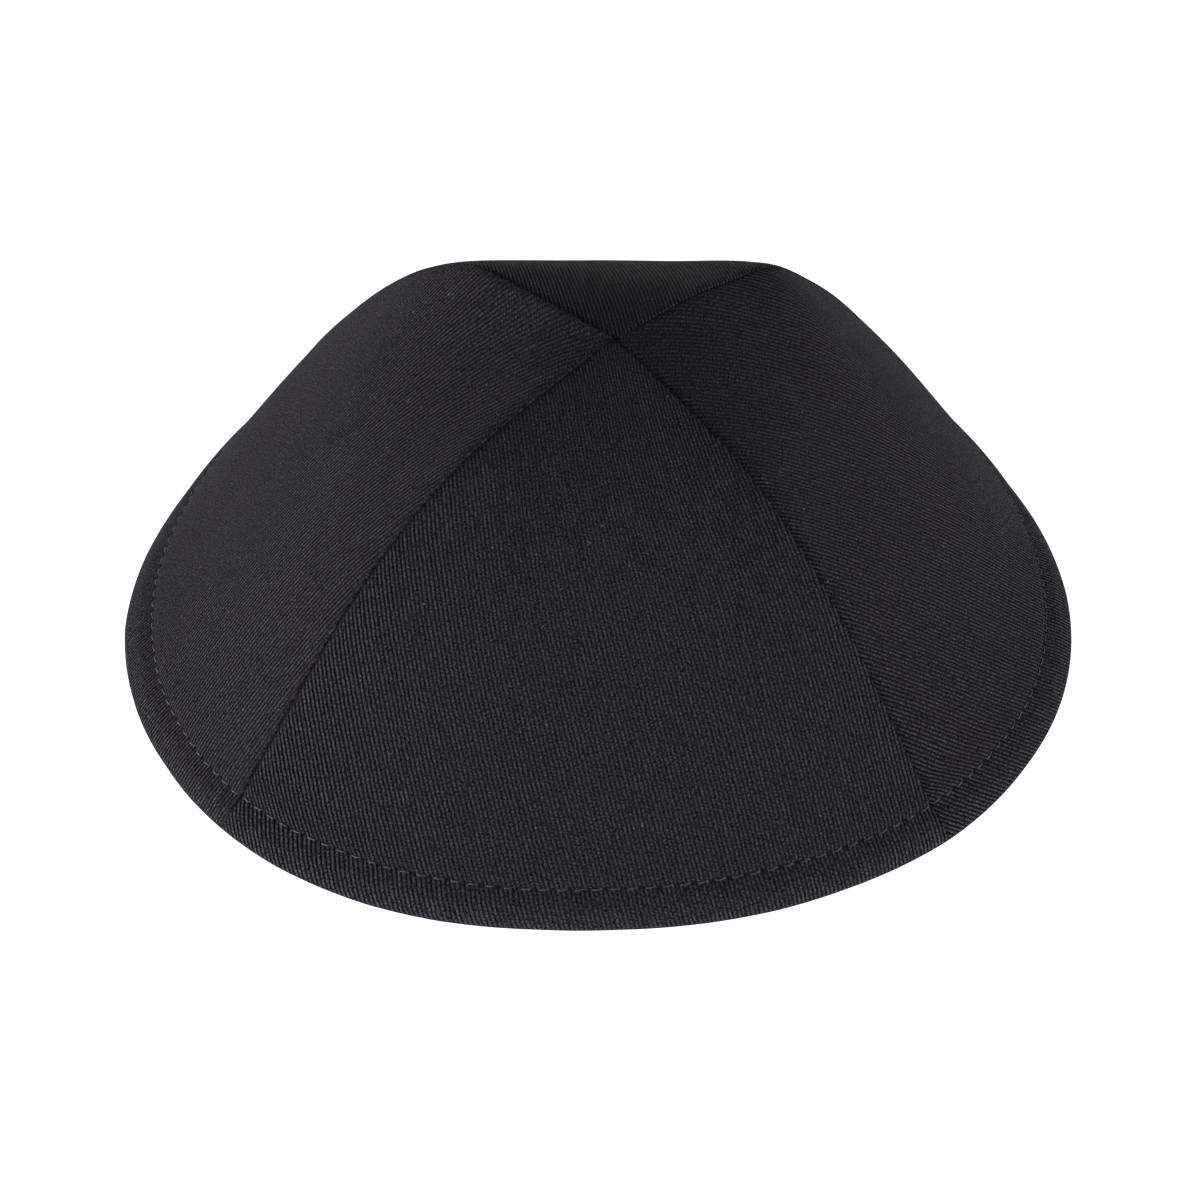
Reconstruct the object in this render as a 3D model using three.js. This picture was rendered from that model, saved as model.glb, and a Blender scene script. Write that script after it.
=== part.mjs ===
// A cloth kippah of four sewn panels, lying on its rim as it keeps its form on a table.
// Millimetres, +Z up. The origin is the middle of the rim, on the table. The front panel faces -Y
// and bearings are counted from there, in degrees, positive towards +X.
import * as THREE from "three";

const RIM_RADIUS = 87.5;
// The soft rim isn't a true circle: it is this share of its radius fuller at the front corners,
// and as much narrower at the back ones.
const RIM_EGG = 0.0265;
// The four panels meet at the apex, a little off the middle of the rim.
const APEX = { x: 3.4, y: -3.9 };
const SEAMS = {
  front_left: { bearing: -48, profile: "front_seam" },
  front_right: { bearing: 39.5, profile: "front_seam" },
  back_right: { bearing: 130, profile: "back_right_seam" },
  back_left: { bearing: 226, profile: "back_left_seam" },
};

// Height of the cloth above the table at nine even steps from the apex to the rim: along the seams,
// and down the middle of the front, side and back panels. The crown is nearly flat towards the back.
const PROFILE = {
  front_seam: [60.3, 58.1, 55.3, 51.9, 45.8, 37.4, 26.1, 13.4, 0],
  back_right_seam: [60.3, 59.3, 58.4, 56.1, 53.3, 44.5, 33.5, 19.5, 0],
  back_left_seam: [60.3, 60.4, 60.3, 59.5, 53.9, 44.6, 32.8, 19, 0],
  front_middle: [60.3, 57.2, 52.7, 46.9, 39.7, 31.1, 21.5, 11.1, 0],
  side_middle: [60.3, 57.8, 53.7, 48, 40.6, 31.7, 21.7, 11, 0],
  back_middle: [60.3, 58.9, 55.6, 50.6, 43.7, 34.6, 24.1, 12.5, 0],
};
// Between its seams a panel sags in a round trough, raised to this power: above 1 the cloth beside
// a seam stays up longer, because the pressed seam allowances stiffen it.
const SAG_POWER = 1.3;

const CLOTH_THICKNESS = 1.4;
const SEAM_GAP = 0.3;
// The panels stop short of the very apex, where their points would have no width.
const TIP_SHARE = 0.006;

// The hem: the cloth turned up inside and stitched down. Each row is a line round the rim, at a
// distance up the cloth from the edge, with how far the face stands proud of the panel there and
// how thick the wall is. The first row is the flat that the cap rests on.
const HEM_ROWS = [
  { up: 0, proud: -0.7, thick: 1.7 },
  { up: 0.9, proud: 0.1, thick: 2.5 },
  { up: 2.4, proud: 0.35, thick: 2.8 },
  { up: 4.3, proud: 0.35, thick: 2.8 },
  { up: 6, proud: 0.1, thick: 2.5 },
  { up: 7, proud: -0.25, thick: 2.1 },
  { up: 8, proud: 0, thick: 2.3 },
  { up: 9.4, proud: 0, thick: 1.4 },
];
const CROWN_ROWS = 13;
const COLUMNS = 20;

// The wall's inner face lies level with the outer one at the rim and straight below it at the
// apex. This power sets how soon, on the way up, the direction between them turns.
const WALL_TURN_POWER = 1.3;

const PANELS = [
  { name: "panel_front", from: "front_left", to: "front_right", middle: "front_middle", colour: 0x232226 },
  { name: "panel_right", from: "front_right", to: "back_right", middle: "side_middle", colour: 0x27272b },
  { name: "panel_back", from: "back_right", to: "back_left", middle: "back_middle", colour: 0x222125 },
  { name: "panel_left", from: "back_left", to: "front_left", middle: "side_middle", colour: 0x2c2c31 },
];

// The height along one profile, on a smooth curve through its steps.
function heightAt(profile, share) {
  const heights = PROFILE[profile];
  const last = heights.length - 1;
  const step = Math.min(Math.floor(share * last), last - 1);
  const slope = (index) => {
    const before = Math.max(index - 1, 0);
    const after = Math.min(index + 1, last);
    return (heights[after] - heights[before]) / (after - before);
  };
  const t = share * last - step;
  return (
    heights[step] * (2 * t ** 3 - 3 * t ** 2 + 1) +
    slope(step) * (t ** 3 - 2 * t ** 2 + t) +
    heights[step + 1] * (3 * t ** 2 - 2 * t ** 3) +
    slope(step + 1) * (t ** 3 - t ** 2)
  );
}

function bearingOf(panel, across) {
  const from = SEAMS[panel.from].bearing;
  const to = SEAMS[panel.to].bearing;
  const sweep = (to - from + 360) % 360;
  return THREE.MathUtils.degToRad(from + (sweep * (across + 1)) / 2);
}

function rimPoint(bearing) {
  const swell = RIM_EGG * (Math.cos(bearing) - Math.cos(3 * bearing));
  const radius = RIM_RADIUS * (1 + swell);
  return new THREE.Vector3(radius * Math.sin(bearing), -radius * Math.cos(bearing), 0);
}

// A panel's face: across runs from -1 at its left seam to 1 at its right one, seen from outside,
// and share from 0 at the apex to 1 at the rim.
function facePoint(panel, across, share) {
  const left = heightAt(SEAMS[panel.from].profile, share);
  const right = heightAt(SEAMS[panel.to].profile, share);
  const sag = (left + right) / 2 - heightAt(panel.middle, share);
  const level = THREE.MathUtils.lerp(left, right, (across + 1) / 2);
  const apex = new THREE.Vector3(APEX.x, APEX.y, 0);
  const point = apex.lerp(rimPoint(bearingOf(panel, across)), share);
  point.z = level - sag * (1 - across * across) ** SAG_POWER;
  return point;
}

function faceNormal(panel, across, share) {
  const step = 0.01;
  const a = THREE.MathUtils.clamp(across, step - 1, 1 - step);
  const s = THREE.MathUtils.clamp(share, 2 * step, 1 - step);
  const along = facePoint(panel, a, s - step).sub(facePoint(panel, a, s + step));
  const aside = facePoint(panel, a + step, s).sub(facePoint(panel, a - step, s));
  return aside.cross(along).normalize();
}

// Row 0 is the flat underside, then come the hem's rows, then even steps up to the tip.
function rowAt(panel, across, row) {
  const rise = 0.1;
  const slant = facePoint(panel, across, 1).distanceTo(facePoint(panel, across, 1 - rise)) / rise;
  if (row < HEM_ROWS.length) {
    const { up, proud, thick } = HEM_ROWS[row];
    return { share: 1 - up / slant, proud, thick };
  }
  const hemTop = 1 - HEM_ROWS[HEM_ROWS.length - 1].up / slant;
  const step = (row - HEM_ROWS.length + 1) / CROWN_ROWS;
  return { share: THREE.MathUtils.lerp(hemTop, TIP_SHARE, step), proud: 0, thick: CLOTH_THICKNESS };
}

// The direction from the wall's outer face to its inner one. It stays in the upright plane
// through the apex, so that neighbouring panels never reach across their seam.
function inwardAt(panel, across, share) {
  const turn = (Math.PI / 2) * (1 - share ** WALL_TURN_POWER);
  const towardsApex = new THREE.Vector3(APEX.x, APEX.y, 0).sub(rimPoint(bearingOf(panel, across)));
  return towardsApex.normalize().multiplyScalar(Math.cos(turn)).setZ(-Math.sin(turn));
}

// A flat slab with the panel's grid of faces, each corner of which is then put in its place.
function panelGeometry(panel) {
  const rows = HEM_ROWS.length - 1 + CROWN_ROWS;
  const slab = new THREE.BoxGeometry(2, rows, 2, COLUMNS, rows, 1);
  const corners = slab.getAttribute("position");
  for (let i = 0; i < corners.count; i++) {
    const across = corners.getX(i);
    const row = Math.round(corners.getY(i) + rows / 2);
    const inside = corners.getZ(i) < 0;
    const { share, proud, thick } = rowAt(panel, across, row);
    const inward = inwardAt(panel, across, share);
    const squareness = -inward.dot(faceNormal(panel, across, share));
    const depth = (inside ? thick - proud : -proud) / squareness;
    const bearing = bearingOf(panel, across);
    const aside = new THREE.Vector3(Math.cos(bearing), Math.sin(bearing), 0);
    const point = facePoint(panel, across, share)
      .addScaledVector(inward, depth)
      .addScaledVector(aside, (-across * SEAM_GAP) / 2);
    corners.setXYZ(i, point.x, point.y, point.z);
  }
  slab.deleteAttribute("uv");
  slab.computeVertexNormals();
  return slab;
}

const kippah = new THREE.Group();
kippah.name = "kippah";
for (const panel of PANELS) {
  const twill = new THREE.MeshStandardMaterial({ color: panel.colour, roughness: 0.85, metalness: 0 });
  const mesh = new THREE.Mesh(panelGeometry(panel), twill);
  mesh.name = panel.name;
  kippah.add(mesh);
}

export default kippah;
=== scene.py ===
# %% [markdown]
# # A four-panel cloth kippah
# The cap is cut from black cotton twill in four gores, sewn together at the crown and hemmed round
# the rim with one row of topstitching. It lies on its rim on a pale table. The imported model comes
# first: it is the frame that every piece here has to fit.

# %% Load the frame
import math

import bmesh
import bpy
import numpy as np
from mathutils import Matrix, Vector


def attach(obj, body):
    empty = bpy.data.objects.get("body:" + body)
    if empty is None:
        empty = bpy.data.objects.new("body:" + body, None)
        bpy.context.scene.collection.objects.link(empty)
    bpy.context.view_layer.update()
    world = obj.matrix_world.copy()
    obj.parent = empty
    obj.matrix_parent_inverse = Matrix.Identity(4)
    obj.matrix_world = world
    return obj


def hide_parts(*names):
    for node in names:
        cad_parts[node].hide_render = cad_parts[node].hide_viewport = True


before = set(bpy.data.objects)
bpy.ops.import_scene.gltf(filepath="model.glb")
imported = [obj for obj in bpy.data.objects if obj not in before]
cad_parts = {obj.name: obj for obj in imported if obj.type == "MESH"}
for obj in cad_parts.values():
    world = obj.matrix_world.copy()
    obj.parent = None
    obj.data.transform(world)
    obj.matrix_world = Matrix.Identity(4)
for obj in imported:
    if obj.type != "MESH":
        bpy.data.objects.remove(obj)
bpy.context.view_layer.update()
MM = 0.001
print("nodes:", sorted(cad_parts))

# %% [markdown]
# ## The camera
# The photograph looks down on the cap from the front. A long lens half a metre away keeps the
# perspective gentle. The camera turns about a point near the middle of the cap: first its bearing,
# then its height angle, then a slight roll. Writing these as angles and a distance, and not as a
# matrix, keeps the view easy to read and change.

# %% Place the camera
CAMERA_BEARING = math.radians(-1.87)
CAMERA_ELEVATION = math.radians(43.03)
CAMERA_ROLL = math.radians(-0.81)
CAMERA_DISTANCE = 550 * MM
LENS_MM = 86.41
SENSOR_MM = 36
NEAREST_SEEN = 10 * MM
AIM = Vector((0.63, 0, -5.63)) * MM


def place_camera():
    data = bpy.data.cameras.new("camera")
    data.lens = LENS_MM
    data.sensor_width = SENSOR_MM
    data.clip_start = NEAREST_SEEN
    camera = bpy.data.objects.new("camera", data)
    bpy.context.collection.objects.link(camera)
    turn = Matrix.Rotation(CAMERA_BEARING, 4, "Z")
    tilt = Matrix.Rotation(math.pi / 2 - CAMERA_ELEVATION, 4, "X")
    roll = Matrix.Rotation(CAMERA_ROLL, 4, "Z")
    back = (turn @ tilt) @ Vector((0, 0, CAMERA_DISTANCE))
    camera.matrix_world = Matrix.Translation(AIM + back) @ turn @ tilt @ roll
    bpy.context.scene.camera = camera
    return camera


camera = place_camera()
print("camera at", [round(v, 3) for v in camera.matrix_world.translation])

# %% [markdown]
# ## The table
# The cap lies on a white table with hardly any shadow round it. A plain white plane would go grey
# beside black cloth, so this one is acrylic that glows, as packshot tables do, and its glow also
# fills the cap's steep flanks from below. One square far wider than the view is enough, and it
# lies a hair below the rim.

# %% Table
FLOOR_HALF = 6.0
FLOOR_DROP = 0.1 * MM
FLOOR_FINISH = {
    "Base Color": (0.93, 0.93, 0.93, 1),
    "Roughness": 0.9,
    "Specular IOR Level": 0.0,
    "Emission Color": (1, 1, 1, 1),
    "Emission Strength": 1.1,
}


def new_material(name, finish):
    """A material, with each number or colour of the finish set on its shader's own socket."""
    material = bpy.data.materials.new(name)
    material.use_nodes = True
    shader = material.node_tree.nodes["Principled BSDF"]
    for socket, value in finish.items():
        shader.inputs[socket].default_value = value
    return material


def lay_floor():
    bm = bmesh.new()
    bmesh.ops.create_grid(bm, x_segments=1, y_segments=1, size=FLOOR_HALF)
    bmesh.ops.translate(bm, verts=bm.verts, vec=(0, 0, -FLOOR_DROP))
    mesh = bpy.data.meshes.new("floor")
    bm.to_mesh(mesh)
    bm.free()
    floor = bpy.data.objects.new("floor", mesh)
    bpy.context.collection.objects.link(floor)
    mesh.materials.append(new_material("white_acrylic", FLOOR_FINISH))


lay_floor()
print("table", 2 * FLOOR_HALF, "m wide")

# %% [markdown]
# ## Soft light from low down
# Black cloth swallows light, so what shows its form is the difference between its flat crown and
# its steep flanks. Light from above would flatten that. The soft boxes here stand low round the
# table, where their light rakes across the ribs of every panel. The surround is pale near the
# horizon and dark overhead, for the same reason.

# %% Soft boxes and surround
BOX_DISTANCE = 1.1
BOX_SIZE = 0.5
# Bearings are counted from the front towards the right, and they and the heights are in degrees.
SOFT_BOXES = [
    {"name": "front_box", "bearing": -44, "height": 10, "watts": 6.0},
    {"name": "left_box", "bearing": -94, "height": 10, "watts": 6.6},
    {"name": "right_box", "bearing": 64, "height": 10, "watts": 5.9},
]
# Brightness of the surround by the sine of its height.
SURROUND = {0.0: 0.9, 0.12: 0.8, 0.25: 0.35, 0.42: 0.1, 0.6: 0.02}


def hang_soft_box(name, bearing, height, watts):
    """A square light that looks at the cap."""
    bearing, height = math.radians(bearing), math.radians(height)
    level = math.cos(height)
    place = Vector((math.sin(bearing) * level, -math.cos(bearing) * level, math.sin(height)))
    data = bpy.data.lights.new(name, "AREA")
    data.shape = "SQUARE"
    data.size = BOX_SIZE
    data.energy = watts
    lamp = bpy.data.objects.new(name, data)
    bpy.context.collection.objects.link(lamp)
    lamp.location = place * BOX_DISTANCE
    lamp.rotation_euler = (-place).to_track_quat("-Z", "Y").to_euler()
    lamp.visible_camera = False


def light_surround():
    world = bpy.data.worlds.new("surround")
    world.use_nodes = True
    tree = world.node_tree
    direction = tree.nodes.new("ShaderNodeTexCoord")
    split = tree.nodes.new("ShaderNodeSeparateXYZ")
    ramp = tree.nodes.new("ShaderNodeValToRGB")
    tree.links.new(direction.outputs["Generated"], split.inputs[0])
    tree.links.new(split.outputs["Z"], ramp.inputs["Fac"])
    tree.links.new(ramp.outputs["Color"], tree.nodes["Background"].inputs["Color"])
    stops = ramp.color_ramp.elements
    while len(stops) < len(SURROUND):
        stops.new(0.5)
    for stop, (height, tone) in zip(stops, sorted(SURROUND.items())):
        stop.position = height
        stop.color = (tone, tone, tone, 1)
    bpy.context.scene.world = world


for box in SOFT_BOXES:
    hang_soft_box(**box)
light_surround()
bpy.context.scene.view_settings.view_transform = "Standard"
print("soft boxes:", [box["name"] for box in SOFT_BOXES])

# %% [markdown]
# ## Seams and panels
# These sizes, in millimetres, are the ones that the cap is built to. A cloth cap that keeps its
# form isn't a dome: each seam is a stiff rib and each panel sags a little between two of them. So
# the form is written as height curves, in even steps from the apex to the rim, along the seams and
# down the middle of the panels. Bearings are counted from the front, -Y, towards +X.

# %% Sizes of the cap
RIM_RADIUS = 87.5
RIM_EGG = 0.0265
APEX = (3.4, -3.9)
PROFILE = {
    "front_seam": (60.3, 58.1, 55.3, 51.9, 45.8, 37.4, 26.1, 13.4, 0),
    "back_right_seam": (60.3, 59.3, 58.4, 56.1, 53.3, 44.5, 33.5, 19.5, 0),
    "back_left_seam": (60.3, 60.4, 60.3, 59.5, 53.9, 44.6, 32.8, 19, 0),
    "front_middle": (60.3, 57.2, 52.7, 46.9, 39.7, 31.1, 21.5, 11.1, 0),
    "side_middle": (60.3, 57.8, 53.7, 48, 40.6, 31.7, 21.7, 11, 0),
    "back_middle": (60.3, 58.9, 55.6, 50.6, 43.7, 34.6, 24.1, 12.5, 0),
}
# At each seam the panel named "over" rolls over its pressed allowance and the other one tucks in.
# Beside a smoothed seam the pull of the fold closes the furrows of both panels, so there they are
# shallower and get less painted shade.
SEAMS = {
    "front_left": {"bearing": -48, "profile": "front_seam",
                   "over": "left", "roll": 0.16, "tuck": 0.20, "smoothed": True},
    "front_right": {"bearing": 39.5, "profile": "front_seam",
                    "over": "front", "roll": 0.10, "tuck": 0.34, "smoothed": False},
    "back_right": {"bearing": 130, "profile": "back_right_seam",
                   "over": "back", "roll": 0.10, "tuck": 0.10, "smoothed": False},
    "back_left": {"bearing": 226, "profile": "back_left_seam",
                  "over": "left", "roll": 0.16, "tuck": 0.30, "smoothed": True},
}
# Each panel runs from one seam to the next. Its ribs lean from its own centre line by the slant,
# because it is cut a little off the straight grain. Where it was pressed to shape, its ribs lie
# closer together or wider apart towards the crown, by the share that ease gives, and where it was
# pulled out of true, the ribs curve by the bend. The last entry sets, at the crown, at the rim's
# middle and at its corners, how deep the furrows are and how much painted shade they get; it
# differs from panel to panel with how the light falls across the ribs.
PANELS = [
    {"name": "front", "from": "front_left", "to": "front_right", "middle": "front_middle",
     "slant": 17.5, "bend": 0, "ease": -0.31, "ease_reach": 40, "furrow_depth_and_shade": (0.8, 0.9, 1.4)},
    {"name": "right", "from": "front_right", "to": "back_right", "middle": "side_middle",
     "slant": 12, "bend": 0, "ease": 0.34, "ease_reach": 68, "furrow_depth_and_shade": (0.5, 1.7, 1.5)},
    {"name": "back", "from": "back_right", "to": "back_left", "middle": "back_middle",
     "slant": 6, "bend": 0, "ease": 0.0, "ease_reach": 40, "furrow_depth_and_shade": (1.5, 1.4, 1.4)},
    {"name": "left", "from": "back_left", "to": "front_left", "middle": "side_middle",
     "slant": 20, "bend": -0.0021, "ease": 0.44, "ease_reach": 62, "furrow_depth_and_shade": (0.8, 1.25, 1.25)},
]
print("rim", 2 * RIM_RADIUS, "mm across, crown", PROFILE["front_seam"][0], "mm high")

# %% [markdown]
# ## The cap's smooth form
# Any point of a panel is named by two numbers: how far across it lies, from -1 at its first seam to
# 1 at its second, and its share of the way from the apex, 0, to the rim, 1. A smooth curve runs
# through each profile's steps, and between two seams the panel sags towards its middle's curve.
# In plan the rim is a circle with a slight egg shape, and the apex lies a little off its middle.

# %% Points on the smooth form
SAG_POWER = 1.3


def height_at(profile, share):
    """A smooth curve through the even steps of one profile, from the apex to the rim."""
    rows = np.array(PROFILE[profile], float)
    last = len(rows) - 1
    slopes = np.gradient(rows)
    row = np.clip(np.floor(share * last).astype(int), 0, last - 1)
    t = share * last - row
    return (
        rows[row] * (2 * t**3 - 3 * t**2 + 1)
        + slopes[row] * (t**3 - 2 * t**2 + t)
        + rows[row + 1] * (3 * t**2 - 2 * t**3)
        + slopes[row + 1] * (t**3 - t**2)
    )


def bearing_of(panel, across):
    start, end = SEAMS[panel["from"]]["bearing"], SEAMS[panel["to"]]["bearing"]
    sweep = (end - start) % 360
    return np.radians(start + sweep * (across + 1) / 2)


def rim_offset(bearing):
    """From the apex to the rim, in plan."""
    radius = RIM_RADIUS * (1 + RIM_EGG * (np.cos(bearing) - np.cos(3 * bearing)))
    return np.stack([radius * np.sin(bearing) - APEX[0], -radius * np.cos(bearing) - APEX[1]], -1)


def face_points(panel, across, share):
    left, right = (height_at(SEAMS[panel[end]]["profile"], share) for end in ("from", "to"))
    sag = (left + right) / 2 - height_at(panel["middle"], share)
    level = left + (right - left) * (across + 1) / 2
    height = level - sag * (1 - across**2) ** SAG_POWER
    plan = np.array(APEX) + rim_offset(bearing_of(panel, across)) * share[..., None]
    return np.concatenate([plan, height[..., None]], -1)


for panel in PANELS:
    half_way = face_points(panel, np.zeros(1), np.full(1, 0.5))[0]
    print(panel["name"], "panel is", round(float(half_way[2]), 1), "mm high half way down its middle")

# %% [markdown]
# ## Rows and columns of a panel
# A panel is modelled as a fine grid wrapped round the cap: columns from seam to seam, rows from
# the edge to the tip. The rows are close together where something small happens, at the rolled
# edge and at the stitch line, and wide apart on the plain crown. The columns crowd towards the
# seams for the same reason.

# %% Grid of a panel
COLUMNS = 560
CROWN_ROWS = 46
STITCH_LINE = 6.9
HEM_TOP = 9.4
SEAM_CROWDING = 0.6
VISIBLE_TIP = 0.0005
RIM_STRETCH = 0.1
# Heights of the hem's rows above the edge, along the cloth: edge, puff, stitch line, top.
ROW_HEIGHTS = np.concatenate([
    [0, 0.12, 0.3, 0.55, 0.85],
    np.arange(1.3, 5.6, 0.45),
    np.arange(5.8, 8.3, 0.28),
    [8.6, HEM_TOP],
])
ROWS = len(ROW_HEIGHTS) - 1 + CROWN_ROWS


def column_share(x):
    """Even steps from -1 to 1 become steps that shorten towards both seams."""
    return SEAM_CROWDING * np.sin(x * math.pi / 2) + (1 - SEAM_CROWDING) * x


def grid_shares(panel, across):
    """The share of the way from apex to rim, for every row and column."""
    edge = face_points(panel, across, np.ones_like(across))
    above = face_points(panel, across, np.full_like(across, 1 - RIM_STRETCH))
    slant = np.linalg.norm(edge - above, axis=-1) / RIM_STRETCH
    hem = 1 - ROW_HEIGHTS[:, None] / slant
    steps = np.linspace(0, 1, CROWN_ROWS + 1)[1:, None]
    crown = hem[-1] + (VISIBLE_TIP - hem[-1]) * steps
    return np.concatenate([hem, crown])


print("grid", COLUMNS, "by", ROWS)

# %% [markdown]
# ## The cloth's own measures
# Twill ribs are straight on the bolt, so on the cap they follow the panel's flat pattern. The
# pattern is worked out as map makers draw a gore: down the centre line at true length, with each
# cross line an arc of its true length and curvature. That gives every point two cloth coordinates,
# which become the UV map, so a rib runs straight up the map and bends only with the panel.

# %% Flat pattern of a panel
LEAST_GROWTH = 0.2
BEND_MIDDLE = 55


def running_length(points, axis):
    steps = np.linalg.norm(np.diff(points, axis=axis), axis=-1)
    pad = [(0, 0), (0, 0)]
    pad[axis] = (1, 0)
    return np.cumsum(np.pad(steps, pad), axis=axis)


def flat_pattern(panel, points):
    """Cloth coordinates in millimetres, and the distance along each cross line from the left seam."""
    along_row = running_length(points, 1)
    centre = points.shape[1] // 2
    down = running_length(points[::-1, centre : centre + 1], 0)[::-1, 0]
    width = along_row[:, -1]
    growth = np.maximum(np.gradient(width, down), LEAST_GROWTH)
    radius = (width / growth)[:, None]
    turn = (along_row - along_row[:, centre : centre + 1]) / radius
    ease = 1 + panel["ease"] * np.exp(-((down / panel["ease_reach"]) ** 2))
    sideways = radius * np.sin(turn) / ease[:, None]
    lengthways = radius * (1 - np.cos(turn)) - down[:, None]
    sideways = sideways + panel["bend"] * (lengthways + BEND_MIDDLE) ** 2
    return np.stack([sideways, lengthways], -1), along_row


print("ribs lean by", {panel["name"]: panel["slant"] for panel in PANELS}, "degrees")

# %% [markdown]
# ## Relief of the seams
# The grid is the cloth's smooth face, and sewing adds to it. At each seam one panel rolls over its
# pressed allowance and drops into the seam on a tight fold, while its neighbour tucks under. This
# is height in millimetres above the smooth face, a sum of soft bumps, each of a known width, which
# is easier to set against the photograph than a sculpted seam.

# %% Seam relief
SEAM_DIP = 0.15
DIP_WIDTH = 0.3
ROLL_WIDTH = 4.0
FOLD_RADIUS = 0.16
TUCK_WIDTH = 1.3


def bump(distance, width):
    return np.exp(-((distance / width) ** 2))


def seam_relief(panel, end, distance):
    """Height beside one seam, by the distance from it along the cloth."""
    seam = SEAMS[panel[end]]
    if seam["over"] == panel["name"]:
        inside_fold = 1 - np.clip(distance / FOLD_RADIUS, 0, 1)
        fold = -SEAM_DIP * (1 - np.sqrt(1 - inside_fold**2))
        return fold + seam["roll"] * np.exp(-((distance / ROLL_WIDTH) ** 4))
    return -SEAM_DIP * bump(distance, DIP_WIDTH) - seam["tuck"] * bump(distance, TUCK_WIDTH)


print("seams:", {name: seam["over"] + " over" for name, seam in SEAMS.items()})

# %% [markdown]
# ## Relief of the hem
# The edge is turned up inside, so below the stitch line the hem puffs out over two layers, rounds
# off at the fold, and is drawn in along the line, with a low swell above it. A soft rim on a table
# isn't a true curve either: it lies a little further out in some places, which a short table by
# bearing gives, read off the rim's outline.

# %% Hem relief
HEM_PUFF = 0.55
PUFF_WIDTH = 3.2
EDGE_TURN = 0.7
EDGE_RADIUS = 1.9
LINE_DEPTH = 0.12
LINE_WIDTH = 0.6
SWELL_ABOVE = 2.0
SWELL_WIDTH = 1.1
SPREAD_FROM = 0.72
# How far the soft hem spreads on the table, in millimetres, by bearing from the front.
HEM_SPREAD = {
    -180: 0, -125: -0.15, -110: -0.45, -97: 0.05, -84: 0.2, -72: -0.2, -60: -0.45, -50: -0.1,
    -40: 0.28, -28: 0.43, -20: 0.3, -9: -0.18, 0: -0.24, 10: -0.01, 18: 0.11, 26: 0.03, 40: 0.28,
    54: -0.12, 66: -0.06, 84: -0.03, 96: -0.28, 105: -0.55, 115: -0.05, 122: 0.5, 135: 0.3, 180: 0,
}


def hem_relief(up):
    rolled = -EDGE_TURN * (1 - np.sqrt(1 - (1 - np.clip(up / EDGE_RADIUS, 0, 1)) ** 2))
    below = np.clip((STITCH_LINE - up) / PUFF_WIDTH, 0, 1)
    puff = HEM_PUFF * (1 - np.cos(math.pi * below)) / 2
    swell = LINE_DEPTH * bump(up - STITCH_LINE - SWELL_ABOVE, SWELL_WIDTH)
    return rolled + puff + swell - LINE_DEPTH * bump(up - STITCH_LINE, LINE_WIDTH)


def hem_spread(bearing, share):
    turned = (np.degrees(bearing) + 180) % 360 - 180
    places = np.array(sorted(HEM_SPREAD))
    reach = np.interp(turned, places, [HEM_SPREAD[place] for place in places])
    return reach * np.clip((share - SPREAD_FROM) / (1 - SPREAD_FROM), 0, 1) ** 2


print("hem puffs out by", HEM_PUFF, "mm and spreads by up to", max(HEM_SPREAD.values()), "mm")

# %% [markdown]
# ## Needle holes and slow waves
# Each needle hole is a small dip, and the cloth puckers between the holes. Pressed cloth is never
# quite even: a few long waves, fixed in place, run over the whole cap, so that light doesn't slide
# over the panels as it does over plastic. Sines are enough for that, and give the same cap again.

# %% Needle holes and waves
STITCH_PITCH = 3.0
HOLE_LENGTH = 0.40
HOLE_WIDTH = 0.30
HOLE_DEPTH = 0.22
PUCKER_DEPTH = 0.02
PUCKER_WIDTH = 1.0
# Height of each wave in millimetres, its pace along x, y and z in radians a millimetre, its start.
WAVES = [
    {"height": 0.10, "pace": (0.11, 0.05, 0), "start": 1.3},
    {"height": 0.08, "pace": (0, 0.07, -0.13), "start": 0.4},
    {"height": 0.05, "pace": (0.23, -0.19, 0), "start": 2.1},
]


def needle_marks(up, along, spacing):
    """1 in the middle of each needle hole, falling to 0 round it."""
    to_hole = (along + spacing / 2) % spacing - spacing / 2
    return bump(to_hole, HOLE_LENGTH) * bump(up - STITCH_LINE, HOLE_WIDTH)


def needle_dip(up, along, spacing):
    pucker = np.cos(2 * math.pi * along / spacing) * bump(up - STITCH_LINE, PUCKER_WIDTH)
    return -HOLE_DEPTH * needle_marks(up, along, spacing) - PUCKER_DEPTH * pucker


def soft_waves(points):
    """Height of all the waves together, at points in millimetres."""
    total = 0
    for wave in WAVES:
        run = sum(points[..., k] * pace for k, pace in enumerate(wave["pace"]))
        total = total + wave["height"] * np.sin(run + wave["start"])
    return total


print(len(WAVES), "waves, the highest", max(wave["height"] for wave in WAVES), "mm")

# %% [markdown]
# ## Marks that the material reads
# Some marks are tone more than form. The needle holes and the crevice beside a rolled seam get
# painted shade, as relief this fine casts too little; the cloth is lighter towards the fold at the
# edge; and each panel's furrows get their own depth and painted shade. Each is worked out here for
# every point of the grid and stored on the mesh as an attribute, so that the marks stay exactly
# where the relief is.

# %% Marks
# The cloth's tone is raised in a band this high above the fold.
LIGHTENED_HEIGHT = 6.5
SMOOTHED = 0.65
SMOOTHED_WIDTH = 0.9
CREVICE_SHADE = 0.8
CREVICE_WIDTH = 0.2


def deepen_and_shade_furrows(panel, across, share, to_seam):
    """Depth and painted shade of the furrows; along a smoothed seam the fold lessens both."""
    crown, middle, corner = panel["furrow_depth_and_shade"]
    depth_and_shade = crown + share * (middle + (corner - middle) * across**2 - crown)
    for end, away in to_seam.items():
        if SEAMS[panel[end]]["smoothed"]:
            depth_and_shade = depth_and_shade * (1 - SMOOTHED * bump(away, SMOOTHED_WIDTH))
    return depth_and_shade


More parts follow.
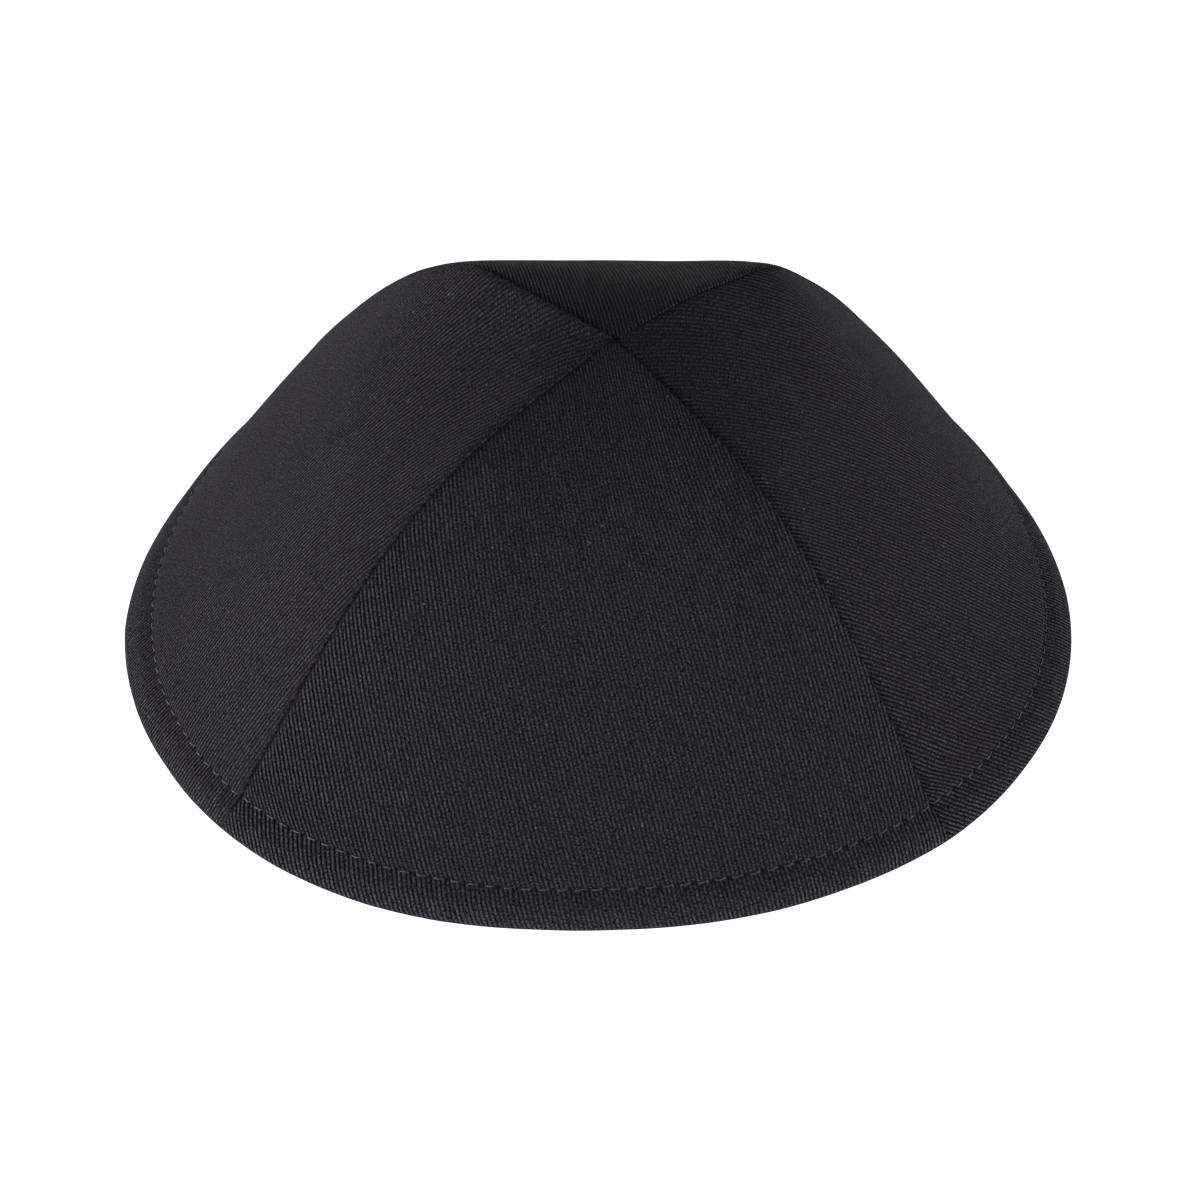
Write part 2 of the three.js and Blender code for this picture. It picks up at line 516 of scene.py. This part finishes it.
def seam_shadow(panel, to_seam):
    """Painted shade in the crevice beside a rolled seam, nearly as dark as a needle hole."""
    tucked = [away for end, away in to_seam.items() if SEAMS[panel[end]]["over"] != panel["name"]]
    return CREVICE_SHADE * sum(bump(away, CREVICE_WIDTH) for away in tucked)


def lightened_edge(up):
    """0 above the hem, rising to 1 at the fold, where the cloth's tone is raised most."""
    t = np.clip((LIGHTENED_HEIGHT - up) / LIGHTENED_HEIGHT, 0, 1)
    return t * t * (3 - 2 * t)


print("the edge is rubbed up to", LIGHTENED_HEIGHT, "mm above the fold")

# %% [markdown]
# ## Measures of every grid point
# The relief, the wall and the marks all ask the same things of a point: how far across and down the
# panel it lies, how high it is above the edge along the cloth, how far from each seam, and where it
# stands in the run of stitches. Each is worked out once, for the whole grid, as one array.

# %% Measure a panel
def measure(panel):
    across = np.broadcast_to(column_share(np.linspace(-1, 1, COLUMNS + 1)), (ROWS + 1, COLUMNS + 1))
    share = grid_shares(panel, across[0])
    smooth = face_points(panel, across, share)
    normal = np.cross(np.gradient(smooth, axis=1), np.gradient(smooth, axis=0))
    normal /= np.linalg.norm(normal, axis=-1, keepdims=True)
    flat, along = flat_pattern(panel, smooth)
    up = np.concatenate([ROW_HEIGHTS, HEM_TOP + np.arange(1, CROWN_ROWS + 1)])[:, None]
    stitch_row = int(np.argmin(np.abs(ROW_HEIGHTS - STITCH_LINE)))
    line_length = along[stitch_row, -1]
    return {
        "across": across, "share": share, "smooth": smooth, "normal": normal,
        "bearing": bearing_of(panel, across), "up": np.broadcast_to(up, across.shape),
        "flat": flat, "along": along, "to_seam": {"from": along, "to": along[:, -1:] - along},
        "stitch_row": stitch_row, "line_along": along[stitch_row] * np.ones_like(across),
        "spacing": line_length / round(line_length / STITCH_PITCH),
    }


measures = {panel["name"]: measure(panel) for panel in PANELS}
for name, at in measures.items():
    print(name, "panel:", round(at["along"][0, -1], 1), "mm along the rim, stitches",
          round(at["spacing"], 2), "mm apart")

# %% [markdown]
# ## Thickness and direction of the wall
# Inside, the wall is thicker where the hem is turned up and where the seam allowances lie, and it
# ends on a narrow flat that rests on the table. The wall can't simply follow the surface's normal,
# because the rim would then not lie flat: its direction is level at the rim and straight down at the
# tip, and the relief and the thickness are divided by how squarely it meets the surface.

# %% Wall
WALL = 1.1
TURNED_UP = 1.3
TURN_HEIGHT = 8.2
ALLOWANCE = 0.7
ALLOWANCE_WIDTH = 6.5
STEP_SOFTNESS = 0.12
FLAT_WIDTH = 1.7
WALL_TURN_POWER = 1.3
LEAST_SQUARE = 0.55


def soft_step(beyond):
    return 1 / (1 + np.exp(beyond / STEP_SOFTNESS))


def wall_thickness(up, seam_distance):
    hem = TURNED_UP * soft_step(up - TURN_HEIGHT)
    beside_seam = soft_step(seam_distance - ALLOWANCE_WIDTH) * (1 - soft_step(up - TURN_HEIGHT))
    thick = WALL + hem + ALLOWANCE * beside_seam
    thick[0] = FLAT_WIDTH + EDGE_TURN
    return thick


def wall_direction(at):
    """Inwards through the wall, and how squarely that meets the surface."""
    to_apex = -rim_offset(at["bearing"])
    to_apex /= np.linalg.norm(to_apex, axis=-1, keepdims=True)
    turn = (math.pi / 2) * (1 - at["share"]**WALL_TURN_POWER)[..., None]
    inward = np.concatenate([to_apex * np.cos(turn), -np.sin(turn)], -1)
    square = np.maximum(-np.sum(inward * at["normal"], axis=-1), LEAST_SQUARE)
    return inward, square


print("wall", WALL, "mm,", round(WALL + TURNED_UP, 1), "mm in the hem")

# %% [markdown]
# ## Both faces of a panel
# The reliefs are added up, and fade where they have no room: the seam's near the edge and at the
# tip, the waves near the edge and the seams. The outside moves out by the relief and the inside in
# by the thickness. Neighbouring panels lap by less than a tenth of a millimetre, so that no light
# falls through where the real ones are sewn.

# %% Outside and inside
SEAM_AT_EDGE = 0.04
SEAM_AT_TIP = 0.25
SEAM_FULL_WIDTH = 12
WAVES_FROM_EDGE = 3
WAVES_FROM_SEAM = 8
SEAM_LAP = 0.08


def sewn_relief(panel, at):
    up, to_seam = at["up"], at["to_seam"]
    nearest = np.minimum(to_seam["from"], to_seam["to"])
    seam_share = SEAM_AT_EDGE + (1 - SEAM_AT_EDGE) * np.clip(up / STITCH_LINE, 0, 1)
    seam_share = seam_share * np.clip(at["along"][:, -1:] / SEAM_FULL_WIDTH, SEAM_AT_TIP, 1)
    wave_share = np.clip(up / WAVES_FROM_EDGE, 0, 1) * np.clip(nearest / WAVES_FROM_SEAM, 0, 1)
    return (
        hem_relief(up)
        + hem_spread(at["bearing"], at["share"])
        + needle_dip(up, at["line_along"], at["spacing"])
        + seam_share * sum(seam_relief(panel, end, away) for end, away in to_seam.items())
        + soft_waves(at["smooth"]) * wave_share
    )


def panel_faces(panel, at):
    inward, square = wall_direction(at)
    thick = wall_thickness(at["up"], np.minimum(at["to_seam"]["from"], at["to_seam"]["to"]))
    aside = np.stack([np.cos(at["bearing"]), np.sin(at["bearing"]), np.zeros_like(at["bearing"])], -1)
    lapped = at["smooth"] + aside * (at["across"] * SEAM_LAP / 2)[..., None]
    outside = lapped - inward * (sewn_relief(panel, at) / square)[..., None]
    inside = lapped + inward * (thick / square)[..., None]
    outside[0, :, 2] = 0
    inside[0, :, 2] = 0
    return {"outside": outside, "inside": inside}


def panel_marks(panel, at):
    holes = needle_marks(at["up"], at["line_along"], at["spacing"])
    return {
        # Painted shade: the needle holes and the crevice beside a rolled seam are darkened in the colour.
        "shadow": np.maximum(holes, seam_shadow(panel, at["to_seam"])),
        "lightened": lightened_edge(at["up"]),
        # Furrow depth for the bump, and how much painted shade the furrows get.
        "furrow_depth_and_shade": deepen_and_shade_furrows(panel, at["across"], at["share"], at["to_seam"]),
    }


faces = {panel["name"]: panel_faces(panel, measures[panel["name"]]) for panel in PANELS}
top = max(float(face["outside"][..., 2].max()) for face in faces.values())
print("highest point", round(top, 2), "mm")

# %% [markdown]
# ## From slab to panel
# Each panel starts as a flat grid that bmesh's solidify turns into a closed slab, with an outside
# and an inside that match point for point. Then every point of the slab is put in its place on
# the cap, and the cloth coordinates and the marks go onto the mesh. A slab bent this way can't have
# holes or loose edges, which suits a cloth wall.

# %% Build the panels
SLAB = 0.1


def slab_mesh(name):
    bm = bmesh.new()
    bmesh.ops.create_grid(bm, x_segments=COLUMNS, y_segments=ROWS, size=1)
    bmesh.ops.solidify(bm, geom=bm.faces[:], thickness=SLAB)
    bmesh.ops.recalc_face_normals(bm, faces=bm.faces[:])
    mesh = bpy.data.meshes.new(name)
    bm.to_mesh(mesh)
    bm.free()
    return mesh


def lay_cloth(mesh, panel, flat):
    """The UV map: the flat pattern, turned so that the ribs run straight up the map."""
    slant = math.radians(panel["slant"])
    x, y = flat.T * MM
    across_ribs = x * math.cos(slant) + y * math.sin(slant)
    along_ribs = y * math.cos(slant) - x * math.sin(slant)
    cloth = np.stack([across_ribs, along_ribs], -1)
    loops = np.empty(len(mesh.loops), dtype=np.int32)
    mesh.loops.foreach_get("vertex_index", loops)
    mesh.uv_layers.new(name="cloth").data.foreach_set("uv", cloth[loops].ravel())


def wrap_panel(panel):
    at, face = measures[panel["name"]], faces[panel["name"]]
    mesh = slab_mesh("cloth_" + panel["name"])
    corners = np.empty(len(mesh.vertices) * 3)
    mesh.vertices.foreach_get("co", corners)
    corners = corners.reshape(-1, 3)
    column = np.rint((corners[:, 0] + 1) / 2 * COLUMNS).astype(int)
    row = np.rint((corners[:, 1] + 1) / 2 * ROWS).astype(int)
    middle = (corners[:, 2].min() + corners[:, 2].max()) / 2
    outer = (corners[:, 2] > middle)[:, None]
    placed = np.where(outer, face["outside"][row, column], face["inside"][row, column]) * MM
    mesh.vertices.foreach_set("co", placed.ravel())
    lay_cloth(mesh, panel, at["flat"][row, column])
    for mark, strength in panel_marks(panel, at).items():
        mesh.attributes.new(mark, "FLOAT", "POINT").data.foreach_set("value", strength[row, column])
    mesh.update()
    mesh.shade_smooth()
    piece = bpy.data.objects.new("cloth_" + panel["name"], mesh)
    bpy.context.collection.objects.link(piece)
    return piece


cloth = {panel["name"]: wrap_panel(panel) for panel in PANELS}
for piece in cloth.values():
    print(piece.name, len(piece.data.polygons), "faces")

# %% [markdown]
# ## Topstitching
# A row of black thread holds the hem. Each stitch shows as a short grain of thread between two
# needle holes, lying a little askew to the line, as a lockstitch does. One small sphere, drawn out
# and bent down at both ends, is enough for each. The same row shows on the inside of the hem.

# %% Sew the hem
THREAD_WIDTH = 0.34
THREAD_SIDES = 8
THREAD_RINGS = 6
STITCH_LENGTH = 2.3
STITCH_TWIST = math.radians(9)
STITCH_ARCH = 0.34
STITCH_LIFT = 0.06


def stitch_places(name, side):
    """Middle, direction and outward normal of each stitch on one panel."""
    at = measures[name]
    along = at["along"][at["stitch_row"]]
    line = faces[name][side][at["stitch_row"]]
    count = round(along[-1] / at["spacing"])
    facing = 1 if side == "outside" else -1
    for middle in (np.arange(count) + 0.5) * at["spacing"]:
        before, here, after = (
            Vector([np.interp(middle + step, along, line[:, k]) for k in range(3)]) for step in (-1, 0, 1)
        )
        column = int(np.argmin(np.abs(along - middle)))
        out = Vector(at["normal"][at["stitch_row"], column]) * facing
        yield here, (after - before).normalized(), out.normalized()


def add_stitch(bm, here, direction, out):
    direction = (Matrix.Rotation(STITCH_TWIST, 3, out) @ direction).normalized()
    side = out.cross(direction).normalized()
    grain = bmesh.ops.create_uvsphere(bm, u_segments=THREAD_SIDES, v_segments=THREAD_RINGS, radius=0.5)
    for vert in grain["verts"]:
        reach = vert.co.z * 2
        sink = STITCH_ARCH * reach**2
        local = direction * (reach * STITCH_LENGTH / 2) + side * (vert.co.x * THREAD_WIDTH)
        local += out * (vert.co.y * THREAD_WIDTH + STITCH_LIFT - sink)
        vert.co = (here + local) * MM


def sew(side):
    bm = bmesh.new()
    for panel in PANELS:
        for here, direction, out in stitch_places(panel["name"], side):
            add_stitch(bm, here, direction, out)
    bmesh.ops.recalc_face_normals(bm, faces=bm.faces[:])
    mesh = bpy.data.meshes.new("topstitch_" + side)
    bm.to_mesh(mesh)
    bm.free()
    mesh.shade_smooth()
    piece = bpy.data.objects.new("topstitch_" + side, mesh)
    bpy.context.collection.objects.link(piece)
    return piece


threads = [sew("outside"), sew("inside")]
for piece in threads:
    print(piece.name, len(piece.data.polygons), "faces")

# %% [markdown]
# ## Helpers for materials
# A material is a sum done at every point of the surface, and Blender writes it as wired nodes. A
# few small functions let the sum be written as such: each takes numbers or other nodes' outputs,
# makes one node and gives back its output.

# %% Small helpers for wiring nodes
def node(tree, kind, **settings):
    made = tree.nodes.new(kind)
    for key, value in settings.items():
        setattr(made, key, value)
    return made


def wire(tree, value, socket):
    if hasattr(value, "is_output"):
        tree.links.new(value, socket)
    else:
        socket.default_value = value


def maths(tree, operation, *values):
    made = node(tree, "ShaderNodeMath", operation=operation)
    for value, socket in zip(values, made.inputs):
        wire(tree, value, socket)
    return made.outputs[0]


def times(tree, value, other):
    return maths(tree, "MULTIPLY", value, other)


def times_plus(tree, value, gain, base):
    return maths(tree, "MULTIPLY_ADD", value, gain, base)


def noise(tree, vector, scale, detail):
    made = node(tree, "ShaderNodeTexNoise")
    wire(tree, vector, made.inputs["Vector"])
    made.inputs["Scale"].default_value = scale
    made.inputs["Detail"].default_value = detail
    return made.outputs["Fac"]


def cloth_mark(tree, name):
    return node(tree, "ShaderNodeAttribute", attribute_name=name).outputs["Fac"]


def split_up(tree, vector):
    made = node(tree, "ShaderNodeSeparateXYZ")
    wire(tree, vector, made.inputs[0])
    return made.outputs


def blend_colours(tree, share, low, high):
    made = node(tree, "ShaderNodeMix", data_type="RGBA", clamp_factor=False)
    wire(tree, share, made.inputs["Factor"])
    wire(tree, low, made.inputs["A"])
    wire(tree, high, made.inputs["B"])
    return made.outputs["Result"]


def raise_bumps(tree, height, strength, depth):
    bumps = node(tree, "ShaderNodeBump")
    bumps.inputs["Strength"].default_value = strength
    bumps.inputs["Distance"].default_value = depth
    wire(tree, height, bumps.inputs["Height"])
    wire(tree, bumps.outputs[0], tree.nodes["Principled BSDF"].inputs["Normal"])


print("helpers for nodes are ready")

# %% [markdown]
# ## The weave
# Twill shows fine diagonal ribs, here about 0.75 mm apart: each is a soft ridge of yarn with a dark
# furrow beside it, dotted where yarns cross. The pattern reads the cloth coordinates, so ribs run
# straight on the flat pattern and bend with the panel. A rib wanders a little, and its yarn is
# thicker here and thinner there. Sines and noise along the two cloth directions give all of that at
# the real scale, and both the tone and the bumps are worked out from them.

# %% Weave
RIB_PITCH = 0.745 * MM
PICK_STEP = 0.6 * MM
PICK_SHIFT = 0.53
# How far the ribs stray from straight, slowly and fast, by the scale of the noise.
RIB_STRAYS = {60: 0.5 * MM, 700: 0.28 * MM}
SLUB_RIBS_APART = 7.3
SLUB_SCALE = 260
FIBRE_SCALE = 5200
GRAIN_SCALE = 2600


def stray(tree, place, scale, reach):
    return times(tree, maths(tree, "SUBTRACT", noise(tree, place, scale, 2.0), 0.5), reach)


def twill_weave(tree, place):
    """Strengths of the weave's parts at each point of the cloth, most of them from 0 to 1."""
    across, along, _ = split_up(tree, place)
    strays = [stray(tree, place, scale, reach) for scale, reach in RIB_STRAYS.items()]
    phase = maths(tree, "DIVIDE", maths(tree, "ADD", across, maths(tree, "ADD", *strays)), RIB_PITCH)
    crest = maths(tree, "SINE", times(tree, maths(tree, "FRACT", phase), math.pi))
    rib = maths(tree, "FLOOR", phase)
    furrow = maths(tree, "FLOOR", maths(tree, "ADD", phase, 0.5))
    picks = maths(tree, "DIVIDE", along, PICK_STEP)

    def pick_wave(line):
        shifted = maths(tree, "ADD", picks, times(tree, line, PICK_SHIFT))
        return maths(tree, "COSINE", times(tree, shifted, 2 * math.pi))

    crossing = times_plus(tree, pick_wave(furrow), 0.5, 0.5)
    bolt = node(tree, "ShaderNodeCombineXYZ")
    wire(tree, times(tree, rib, SLUB_RIBS_APART), bolt.inputs[0])
    wire(tree, times(tree, along, SLUB_SCALE), bolt.inputs[1])
    return {
        "crest": crest,
        "hollow": times(tree, maths(tree, "SUBTRACT", 1.0, crest), crossing),
        "bead": pick_wave(rib),
        "slub": noise(tree, bolt.outputs[0], 1.0, 3.0),
        "fibre": noise(tree, place, FIBRE_SCALE, 2.0),
        "grain": noise(tree, place, GRAIN_SCALE, 1.0),
        "furrow_depth_and_shade": cloth_mark(tree, "furrow_depth_and_shade"),
        "lightened": cloth_mark(tree, "lightened"),
    }


print("twill ribs", RIB_PITCH / MM, "mm apart")

# %% [markdown]
# ## The tone of black twill
# Black cotton isn't one black. The crests are the yarn's colour, while the furrows and the hollows
# where yarns cross get painted shade, since bumps cast none, more so where the furrows are set
# deeper. Each rib's tone wanders with its slubs, the dye is grainy, the brightest fibres get painted
# glints, and the cloth is lighter towards the edge. The tone is one number that all of these push up
# or down, and it picks a colour between the furrow's painted shade and the rib's colour. Rare specks
# of lint go on top, and then the painted shade of the needle holes and the seam crevices.

# %% Tone of the twill
# The furrow's colour is painted shade: the bumps cast no shadow into the furrows.
FURROW_SHADE_COLOUR = (0.0020, 0.0013, 0.0032, 1)
RIB_COLOUR = (0.0440, 0.0422, 0.0525, 1)
LINT_COLOUR = (0.30, 0.30, 0.32, 1)
PAINTED_SHADE_COLOUR = (0.001, 0.001, 0.001, 1)
CREST_TONE = 0.96
FURROW_SHADE_DROP = 0.84
FURROW_SHADE_POWER = 1.1
HOLLOW_SHADE_DROP = 0.30
# Painted glints: fibres above this noise level are lightened in the colour.
GLINT_FROM = 0.62
GLINT_GAIN = 3.0
# The tone is multiplied by gain times each of these strengths plus base.
TONE_SHARES = {
    "furrow_depth_and_shade": {"gain": 0.5, "base": 0.5},
    "slub": {"gain": 1.0, "base": 0.5},
    "grain": {"gain": 4.8, "base": -1.4},
    "bead": {"gain": 0.16, "base": 1.0},
    "lightened": {"gain": 0.42, "base": 1.0},
}
LINT_SCALE = 300
LINT_SIZE = 0.055
LINT_RARITY = 0.6
LINT_STRENGTH = 0.5
SHADOW_POWER = 1.2


def shaded(tree, tone, weave, *kinds):
    for kind in kinds:
        tone = times(tree, tone, times_plus(tree, weave[kind], **TONE_SHARES[kind]))
    return tone


def twill_tone(tree, weave):
    # Painted shade: the furrows, and the hollows where yarns cross, are darkened in the colour.
    furrow_shade = maths(tree, "SUBTRACT", 1.0, maths(tree, "POWER", weave["crest"], FURROW_SHADE_POWER))
    tone = times_plus(tree, times(tree, furrow_shade, weave["furrow_depth_and_shade"]), -FURROW_SHADE_DROP, CREST_TONE)
    tone = times_plus(tree, weave["hollow"], -HOLLOW_SHADE_DROP, shaded(tree, tone, weave, "furrow_depth_and_shade"))
    # Painted glints on the brightest fibres.
    painted_glint = maths(tree, "MAXIMUM", maths(tree, "SUBTRACT", weave["fibre"], GLINT_FROM), 0.0)
    tone = times_plus(tree, painted_glint, GLINT_GAIN, shaded(tree, tone, weave, "slub", "grain", "bead"))
    return maths(tree, "MAXIMUM", shaded(tree, tone, weave, "lightened"), 0.0)


def twill_lint(tree, place):
    speck = node(tree, "ShaderNodeTexVoronoi")
    wire(tree, place, speck.inputs["Vector"])
    speck.inputs["Scale"].default_value = LINT_SCALE
    inside = maths(tree, "LESS_THAN", speck.outputs["Distance"], LINT_SIZE)
    rare = maths(tree, "GREATER_THAN", split_up(tree, speck.outputs["Color"])["X"], LINT_RARITY)
    return times(tree, times(tree, inside, rare), LINT_STRENGTH)


def twill_colour(tree, place, weave):
    colour = blend_colours(tree, twill_tone(tree, weave), FURROW_SHADE_COLOUR, RIB_COLOUR)
    colour = blend_colours(tree, twill_lint(tree, place), colour, LINT_COLOUR)
    # The needle holes and seam crevices are painted shade, darkened towards this colour.
    shadow = maths(tree, "POWER", cloth_mark(tree, "shadow"), SHADOW_POWER)
    return blend_colours(tree, shadow, colour, PAINTED_SHADE_COLOUR)


print("tone is shared by", ", ".join(TONE_SHARES))

# %% [markdown]
# ## Black cotton twill
# The material puts the weave together: its colour, and a bump in which each rib is a rounded ridge
# with fuzz on it. Cotton hardly shines, so the gloss is very low, with a faint warm sheen that
# stands for the nap catching light at glancing angles. Ribs this fine would need millions of faces
# as real geometry, which is why they are bump here, and only folds and stitches are modelled.

# %% Twill material
RIB_HEIGHT = 0.32 * MM
BUMP_ROUNDNESS = 0.7
SLUB_SWELL = {"gain": 0.4, "base": 0.8}
HOLLOW_DEPTH = 0.35
FUZZ = 0.35
TWILL_FINISH = {
    "Roughness": 0.8,
    "Specular IOR Level": 0.045,
    "Sheen Weight": 0.03,
    "Sheen Roughness": 0.5,
    "Sheen Tint": (1.0, 0.8, 0.97, 1),
}


def twill_height(tree, weave):
    ridge = maths(tree, "POWER", weave["crest"], BUMP_ROUNDNESS)
    height = times(tree, ridge, times_plus(tree, weave["slub"], **SLUB_SWELL))
    height = times(tree, times_plus(tree, weave["hollow"], -HOLLOW_DEPTH, height), weave["furrow_depth_and_shade"])
    return times_plus(tree, maths(tree, "ADD", weave["fibre"], weave["grain"]), FUZZ, height)


def twill_material():
    material = new_material("black_twill", TWILL_FINISH)
    tree = material.node_tree
    place = node(tree, "ShaderNodeUVMap", uv_map="cloth").outputs["UV"]
    weave = twill_weave(tree, place)
    wire(tree, twill_colour(tree, place, weave), tree.nodes["Principled BSDF"].inputs["Base Color"])
    raise_bumps(tree, twill_height(tree, weave), 1.0, RIB_HEIGHT)
    return material


twill = twill_material()
print(twill.name, "has", len(twill.node_tree.nodes), "nodes")

# %% [markdown]
# ## Thread
# The thread is spun polyester, twisted from finer plies. It is darker than the cloth's ribs but
# much glossier, so on black cloth each stitch shows as a small cool glint. Fine noise stands for
# the plies, in the colour and as a bump. It reads Object coordinates, because a stitch is far too
# small to need a map of its own.

# %% Thread material
THREAD_COLOUR = (0.010, 0.010, 0.012, 1)
THREAD_SHINE = (0.034, 0.033, 0.041, 1)
PLY_SCALE = 4200
PLY_BUMP = 0.6
PLY_DEPTH = 0.03 * MM
THREAD_FINISH = {
    "Roughness": 0.36,
    "Specular IOR Level": 1.0,
    "Specular Tint": (0.88, 0.84, 1.0, 1),
}


def thread_material():
    material = new_material("black_thread", THREAD_FINISH)
    tree = material.node_tree
    plies = noise(tree, node(tree, "ShaderNodeTexCoord").outputs["Object"], PLY_SCALE, 1.0)
    colour = blend_colours(tree, plies, THREAD_COLOUR, THREAD_SHINE)
    wire(tree, colour, tree.nodes["Principled BSDF"].inputs["Base Color"])
    raise_bumps(tree, plies, PLY_BUMP, PLY_DEPTH)
    return material


thread = thread_material()
print(thread.name, "has", len(thread.node_tree.nodes), "nodes")

# %% [markdown]
# ## Tie the pieces to the frame
# The cap has no joint, so everything rides on the one body, root. Each cloth panel stands for the
# plain solid of its panel, which stays in the frame for collision but is hidden here. The stitches
# are new pieces that the frame doesn't have. The panels take the twill and the stitches the thread.

# %% Dress the pieces and tie them to the frame
for name, piece in cloth.items():
    piece.data.materials.append(twill)
    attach(piece, "root")
    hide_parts("panel_" + name)
for piece in threads:
    piece.data.materials.append(thread)
    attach(piece, "root")
print("dressed", len(cloth) + len(threads), "pieces")
